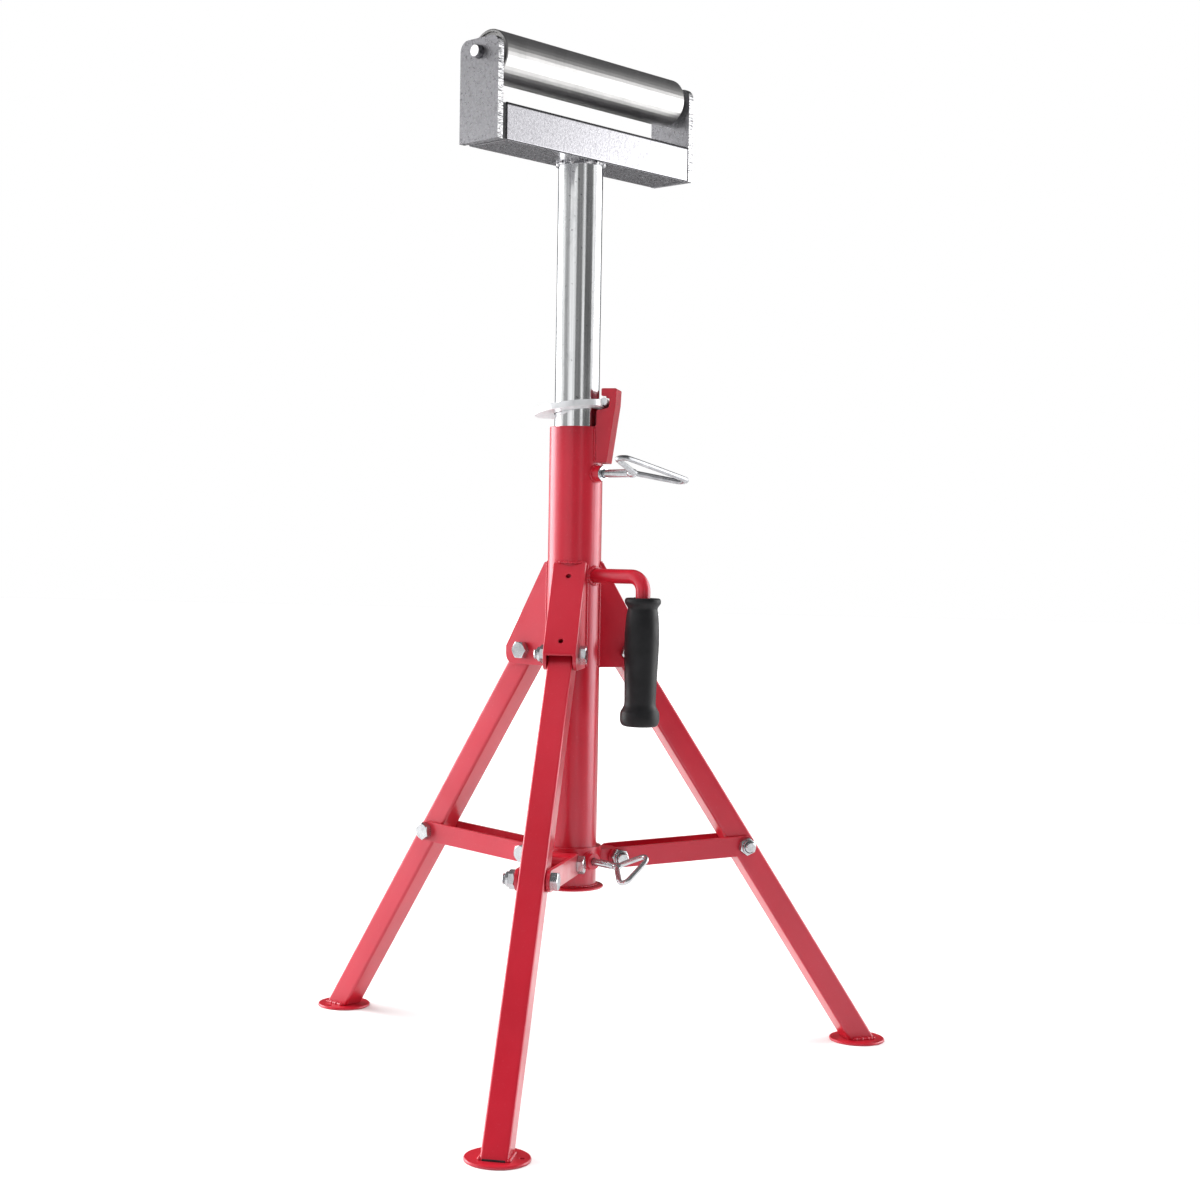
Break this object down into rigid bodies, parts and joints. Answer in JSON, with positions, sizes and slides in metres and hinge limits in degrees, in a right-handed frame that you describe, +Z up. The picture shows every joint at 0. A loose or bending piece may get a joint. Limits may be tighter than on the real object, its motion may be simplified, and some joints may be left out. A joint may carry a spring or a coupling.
{
  "type": "roller stand",
  "caption": "Folding tripod stand with a telescopic post, a tilting clutch ring and a steel roller on top that carries pipe or bar stock at a set height.",
  "frame": {"origin": "on the floor, under the axis of the column", "axes": "+Z up along the column; one leg points along -Y"},
  "size_m": [0.7024, 0.617, 1.1301],
  "materials": {
    "red_paint": "satin powder coat",
    "grey_paint": "hammertone",
    "galvanised_steel": "bright, streaked",
    "zinc_plate": "bright",
    "bare_steel": "turned",
    "black_rubber": "matt",
    "nylon": "plain"
  },
  "bodies": {
    "frame": {"outer_tube": "red_paint", "base_flange": "red_paint", "leg_bracket_front": "red_paint", "leg_bracket_right": "red_paint", "leg_bracket_left": "red_paint", "hip_bolt_front": "zinc_plate", "hip_bolt_right": "zinc_plate", "hip_bolt_left": "zinc_plate", "hip_nut_front": "zinc_plate", "hip_nut_right": "zinc_plate", "hip_nut_left": "zinc_plate", "latch_bracket": "red_paint", "post_lock_boss": "red_paint", "carry_handle": "red_paint", "handle_grip": "black_rubber"},
    "post_guide": {"post_guide": "nylon"},
    "post": {"inner_post": "galvanised_steel", "head_trough": "grey_paint", "end_plate_near": "grey_paint", "end_plate_far": "grey_paint", "roller_axle": "bare_steel", "bearing_inner_near": "bare_steel", "bearing_inner_far": "bare_steel"},
    "roller": {"roller_shell": "bare_steel", "roller_end_cap_near": "bare_steel", "roller_end_cap_far": "bare_steel", "bearing_outer_near": "bare_steel", "bearing_outer_far": "bare_steel"},
    "clutch_ring": {"clutch_ring": "zinc_plate"},
    "post_lock": {"post_lock_screw": "zinc_plate", "post_lock_loop": "zinc_plate"},
    "collar": {"leg_collar": "red_paint", "collar_lock_boss": "red_paint", "collar_bolt_front": "zinc_plate", "collar_bolt_right": "zinc_plate", "collar_bolt_left": "zinc_plate", "collar_nut_front": "zinc_plate", "collar_nut_right": "zinc_plate", "collar_nut_left": "zinc_plate"},
    "collar_lock": {"collar_lock_screw": "zinc_plate", "collar_lock_loop": "zinc_plate"},
    "brace_front": {"brace_front": "red_paint", "brace_bolt_head_front": "zinc_plate", "brace_bolt_nut_front": "zinc_plate"},
    "leg_front": {"leg_front": "red_paint", "foot_front": "red_paint", "brace_bolt_middle_front": "zinc_plate"},
    "brace_right": {"brace_right": "red_paint", "brace_bolt_head_right": "zinc_plate", "brace_bolt_nut_right": "zinc_plate"},
    "leg_right": {"leg_right": "red_paint", "foot_right": "red_paint", "brace_bolt_middle_right": "zinc_plate"},
    "brace_left": {"brace_left": "red_paint", "brace_bolt_head_left": "zinc_plate", "brace_bolt_nut_left": "zinc_plate"},
    "leg_left": {"leg_left": "red_paint", "foot_left": "red_paint", "brace_bolt_middle_left": "zinc_plate"}
  },
  "joints": [
    {"name": "post_slide", "type": "slide", "parent": "frame", "child": "post_guide", "axis": [0, 0, 1], "range_m": [-0.245, 0.13]},
    {"name": "post_turn", "type": "hinge", "parent": "post_guide", "child": "post", "pos_m": [0, 0, 0.452], "axis": [0, 0, 1], "continuous": true},
    {"name": "roller_spin", "type": "hinge", "parent": "post", "child": "roller", "pos_m": [0, 0, 1.1031], "axis": [0.527, 0.8499, 0], "continuous": true},
    {"name": "ring_tilt", "type": "hinge", "parent": "frame", "child": "clutch_ring", "pos_m": [0.034, 0, 0.743], "axis": [0, 0.9984, -0.0558], "range_deg": [0, 10]},
    {"name": "post_lock_turn", "type": "hinge", "parent": "frame", "child": "post_lock", "pos_m": [0, 0, 0.664], "axis": [0.866, -0.5, 0], "range_deg": [0, 720]},
    {"name": "collar_slide", "type": "slide", "parent": "frame", "child": "collar", "axis": [0, 0, 1], "range_m": [0, 0.1148]},
    {"name": "collar_lock_turn", "type": "hinge", "parent": "collar", "child": "collar_lock", "pos_m": [0, 0, 0.232], "axis": [0.766, -0.6428, 0], "range_deg": [0, 720]},
    {"name": "leg_fold_front", "type": "hinge", "parent": "frame", "child": "leg_front", "pos_m": [0, -0.06, 0.464], "axis": [1, 0, 0], "range_deg": [0, 24.3]},
    {"name": "brace_fold_front", "type": "hinge", "parent": "collar", "child": "brace_front", "pos_m": [0, -0.0526, 0.2319], "axis": [1, 0, 0], "range_deg": [0, 73.7]},
    {"name": "leg_fold_right", "type": "hinge", "parent": "frame", "child": "leg_right", "pos_m": [0.05196, 0.03, 0.464], "axis": [-0.5, 0.866, 0], "range_deg": [0, 24.3]},
    {"name": "brace_fold_right", "type": "hinge", "parent": "collar", "child": "brace_right", "pos_m": [0.04555, 0.0263, 0.2319], "axis": [-0.5, 0.866, 0], "range_deg": [0, 73.7]},
    {"name": "leg_fold_left", "type": "hinge", "parent": "frame", "child": "leg_left", "pos_m": [-0.05196, 0.03, 0.464], "axis": [-0.5, -0.866, 0], "range_deg": [0, 24.3]},
    {"name": "brace_fold_left", "type": "hinge", "parent": "collar", "child": "brace_left", "pos_m": [-0.04555, 0.0263, 0.2319], "axis": [-0.5, -0.866, 0], "range_deg": [0, 73.7]}
  ],
  "couplings": [
    {"joint": "leg_fold_front", "follows": "collar_slide", "rad_per_m": 3.6899},
    {"joint": "brace_fold_front", "follows": "collar_slide", "rad_per_m": 11.189},
    {"joint": "leg_fold_right", "follows": "collar_slide", "rad_per_m": 3.6899},
    {"joint": "brace_fold_right", "follows": "collar_slide", "rad_per_m": 11.189},
    {"joint": "leg_fold_left", "follows": "collar_slide", "rad_per_m": 3.6899},
    {"joint": "brace_fold_left", "follows": "collar_slide", "rad_per_m": 11.189}
  ]
}
